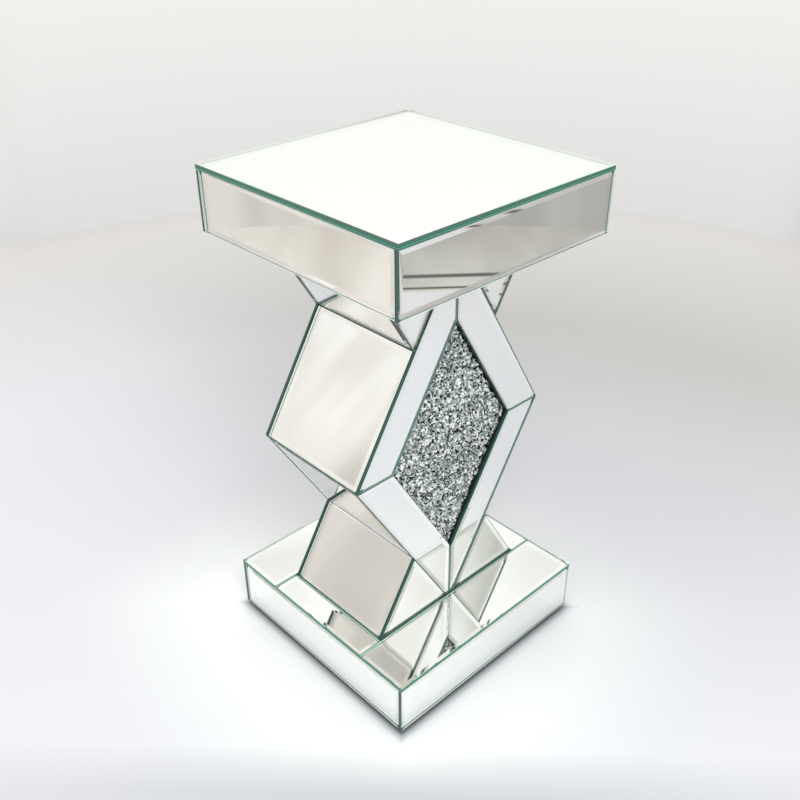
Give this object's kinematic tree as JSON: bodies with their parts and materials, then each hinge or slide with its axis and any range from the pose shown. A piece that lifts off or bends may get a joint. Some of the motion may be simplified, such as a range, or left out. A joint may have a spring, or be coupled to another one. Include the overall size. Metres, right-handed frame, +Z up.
{
  "type": "mirrored pedestal table",
  "caption": "Mirror-clad pedestal table: square top on a rhombus column with wedge feet, square base, and crushed-crystal rhombus inlays front and back.",
  "frame": {"origin": "on the floor, under the middle of the table", "axes": "+Z up, -Y out of the front face with the inlay, +X to the right seen from the front"},
  "size_m": [0.3, 0.3, 0.6],
  "materials": {
    "mirror_glass": "polished silvered float glass with ground bevels and green edges",
    "crystal": "crushed glass chips, some silvered, some smoky",
    "fibreboard": "raw medium-density fibreboard",
    "black_board": "fibreboard painted matt black",
    "black_panel": "thin black hardboard",
    "foot_rubber": "matt moulded rubber",
    "zinc_steel": "zinc plated",
    "insert_brass": "turned"
  },
  "bodies": {
    "root": {"top_mirror": "mirror_glass", "top_side_mirror_front": "mirror_glass", "top_side_mirror_back": "mirror_glass", "top_side_mirror_left": "mirror_glass", "top_side_mirror_right": "mirror_glass", "top_deck_board": "fibreboard", "top_rails": "fibreboard", "top_under_board": "black_board", "top_corner_blocks": "fibreboard", "base_mirror_front": "mirror_glass", "base_mirror_back": "mirror_glass", "base_mirror_left": "mirror_glass", "base_mirror_right": "mirror_glass", "base_side_mirror_front": "mirror_glass", "base_side_mirror_back": "mirror_glass", "base_side_mirror_left": "mirror_glass", "base_side_mirror_right": "mirror_glass", "base_deck_board": "fibreboard", "base_rails": "fibreboard", "base_under_board": "black_board", "base_corner_blocks": "fibreboard", "foot_pads": "foot_rubber", "foot_screws": "zinc_steel", "diamond_mirror_upper_left": "mirror_glass", "diamond_mirror_upper_right": "mirror_glass", "diamond_mirror_lower_left": "mirror_glass", "diamond_mirror_lower_right": "mirror_glass", "wedge_mirror_upper_left": "mirror_glass", "wedge_mirror_upper_right": "mirror_glass", "wedge_mirror_lower_left": "mirror_glass", "wedge_mirror_lower_right": "mirror_glass", "front_strip_upper_left": "mirror_glass", "front_strip_upper_right": "mirror_glass", "front_strip_lower_left": "mirror_glass", "front_strip_lower_right": "mirror_glass", "back_strip_upper_left": "mirror_glass", "back_strip_upper_right": "mirror_glass", "back_strip_lower_left": "mirror_glass", "back_strip_lower_right": "mirror_glass", "front_wedge_upper_left": "mirror_glass", "front_wedge_upper_right": "mirror_glass", "front_wedge_lower_left": "mirror_glass", "front_wedge_lower_right": "mirror_glass", "back_wedge_upper_left": "mirror_glass", "back_wedge_upper_right": "mirror_glass", "back_wedge_lower_left": "mirror_glass", "back_wedge_lower_right": "mirror_glass", "front_frame_board": "black_board", "back_frame_board": "black_board", "diamond_side_boards": "fibreboard", "wedge_side_boards": "fibreboard", "column_top_plate": "fibreboard", "column_bottom_plate": "fibreboard", "front_crystals": "crystal", "back_crystals": "crystal", "front_backer": "black_panel", "back_backer": "black_panel", "column_bolts": "zinc_steel", "threaded_inserts": "insert_brass"}
  },
  "joints": []
}
